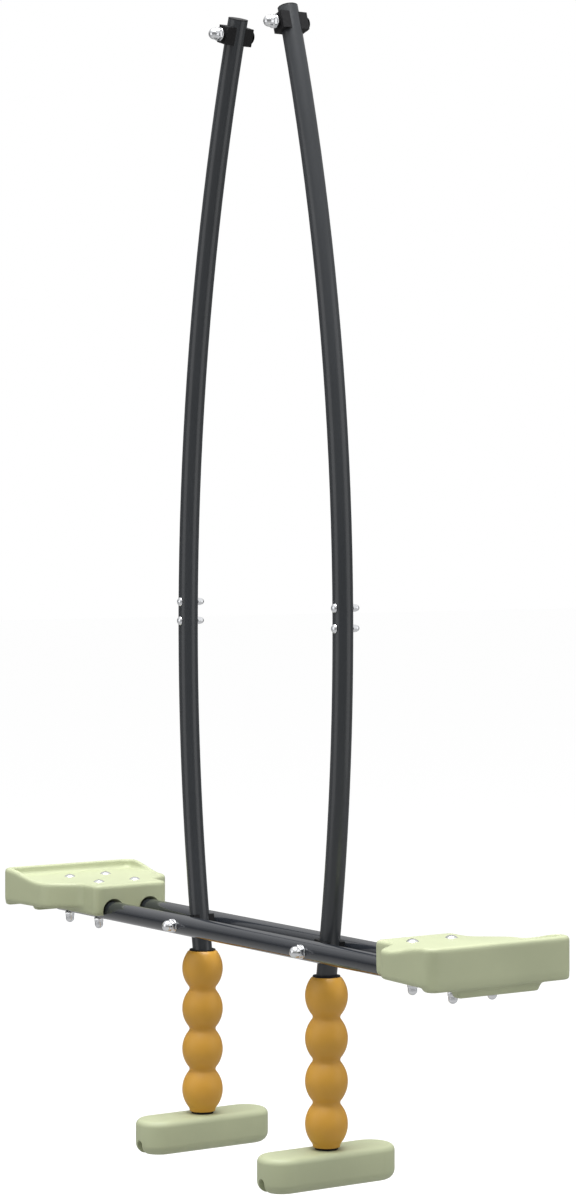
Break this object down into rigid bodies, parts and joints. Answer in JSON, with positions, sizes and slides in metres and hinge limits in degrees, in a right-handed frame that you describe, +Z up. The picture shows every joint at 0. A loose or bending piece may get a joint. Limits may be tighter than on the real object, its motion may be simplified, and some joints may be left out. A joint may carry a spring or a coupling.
{
  "type": "two-seat glider seesaw",
  "caption": "Hanging two-seat glider seesaw: two bowed tube hangers carry twin rails with a moulded seat at each end, beaded hand grips and foot rests.",
  "frame": {"origin": "midway between the two beam pivot axes", "axes": "+X from the left seat to the right seat, +Y from the side with the pivot nuts to the side with the bolt heads, +Z up"},
  "size_m": [1.082, 0.232, 1.6018],
  "materials": {
    "hanger_paint": "satin",
    "rail_paint": "gloss",
    "seat_plastic": "matt",
    "foot_plastic": "matt",
    "grip_plastic": "satin",
    "black_plastic": "matt",
    "chrome": "polished",
    "black_steel": "satin"
  },
  "bodies": {
    "beam_bolt_left": {"beam_bolt_left": "black_steel", "beam_nut_left": "chrome"},
    "hanger_left": {"upper_tube_left": "hanger_paint", "lower_tube_left": "hanger_paint", "leg_tube_left": "hanger_paint", "joint_sleeve_left": "black_plastic", "joint_bolts_left": "chrome", "joint_nuts_left": "chrome", "tube_cap_left": "black_plastic", "beam_bush_left": "black_plastic", "beam_saddles_left": "black_plastic", "rail_bush_left": "black_plastic", "rail_saddles_left": "black_plastic", "grip_left": "grip_plastic", "grip_collars_left": "black_plastic", "foot_rest_left": "foot_plastic", "leg_plug_left": "black_plastic", "foot_screw_left": "chrome"},
    "seat_frame": {"rail_front": "rail_paint", "rail_rear": "rail_paint", "rail_plugs": "black_plastic", "seat_left": "seat_plastic", "seat_right": "seat_plastic", "seat_bolts_left": "chrome", "seat_bolts_right": "chrome", "seat_nuts_left": "chrome", "seat_nuts_right": "chrome", "rail_pivot_bolt_left": "chrome", "rail_pivot_bolt_right": "chrome", "rail_pivot_nut_left": "chrome", "rail_pivot_nut_right": "chrome"},
    "hanger_right": {"upper_tube_right": "hanger_paint", "lower_tube_right": "hanger_paint", "leg_tube_right": "hanger_paint", "joint_sleeve_right": "black_plastic", "joint_bolts_right": "chrome", "joint_nuts_right": "chrome", "tube_cap_right": "black_plastic", "beam_bush_right": "black_plastic", "beam_saddles_right": "black_plastic", "rail_bush_right": "black_plastic", "rail_saddles_right": "black_plastic", "grip_right": "grip_plastic", "grip_collars_right": "black_plastic", "foot_rest_right": "foot_plastic", "leg_plug_right": "black_plastic", "foot_screw_right": "chrome"},
    "beam_bolt_right": {"beam_bolt_right": "black_steel", "beam_nut_right": "chrome"}
  },
  "joints": [
    {"name": "swing", "type": "hinge", "parent": "beam_bolt_left", "child": "hanger_left", "pos_m": [-0.069, 0, 0], "axis": [0, -1, 0], "range_deg": [-20, 20]},
    {"name": "rail_pivot_left", "type": "hinge", "parent": "hanger_left", "child": "seat_frame", "pos_m": [-0.161, 0, -1.257], "axis": [0, -1, 0], "range_deg": [-9, 9]},
    {"name": "rail_pivot_right", "type": "hinge", "parent": "seat_frame", "child": "hanger_right", "pos_m": [0.161, 0, -1.257], "axis": [0, -1, 0], "range_deg": [-9, 9]},
    {"name": "beam_pivot_right", "type": "hinge", "parent": "hanger_right", "child": "beam_bolt_right", "pos_m": [0.069, 0, 0], "axis": [0, -1, 0], "range_deg": [-20, 20]}
  ],
  "couplings": [
    {"joint": "rail_pivot_left", "follows": "swing", "ratio": -0.42857},
    {"joint": "rail_pivot_right", "follows": "swing", "ratio": 0.42857},
    {"joint": "beam_pivot_right", "follows": "swing", "ratio": -1}
  ]
}
